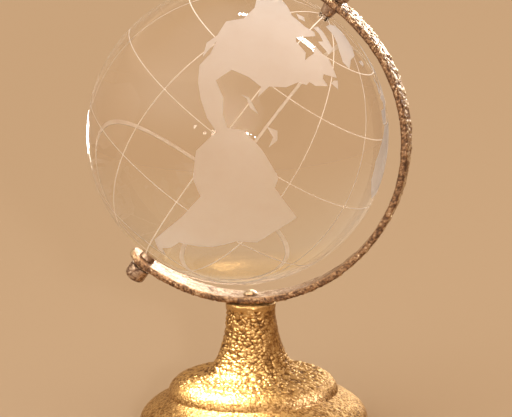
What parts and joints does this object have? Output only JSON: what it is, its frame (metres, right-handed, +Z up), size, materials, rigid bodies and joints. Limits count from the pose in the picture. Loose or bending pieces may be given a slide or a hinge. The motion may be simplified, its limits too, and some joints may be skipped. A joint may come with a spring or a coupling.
{
  "type": "crystal globe",
  "caption": "Desk ornament: a solid crystal globe etched with land and grid lines, turning on pins in a cast gold meridian arm on a round bell-shaped pedestal.",
  "frame": {"origin": "centre of the pedestal's flat underside, on the stem's axis", "axes": "+Z up; the arm lies in the XZ plane with its open side towards -X, and the globe's north pole leans towards +X"},
  "size_m": [0.086, 0.08, 0.1233],
  "materials": {
    "crystal": "clear polished crystal with frosted, sandblasted land and grid lines",
    "strap_gold": "rough-cast champagne gold plating",
    "cast_gold": "hammered antique gold casting with satin highlights",
    "browned_copper": "browned copper"
  },
  "bodies": {
    "stand": {"pedestal_base": "cast_gold", "meridian_arm": "strap_gold", "arm_rivet": "strap_gold", "upper_pin": "browned_copper", "lower_pin": "browned_copper"},
    "globe": {"crystal_globe": "crystal"}
  },
  "joints": [
    {"name": "globe_spin", "type": "hinge", "parent": "stand", "child": "globe", "pos_m": [-0.0025, 0, 0.082], "axis": [0.6004, 0, 0.7997], "continuous": true}
  ]
}
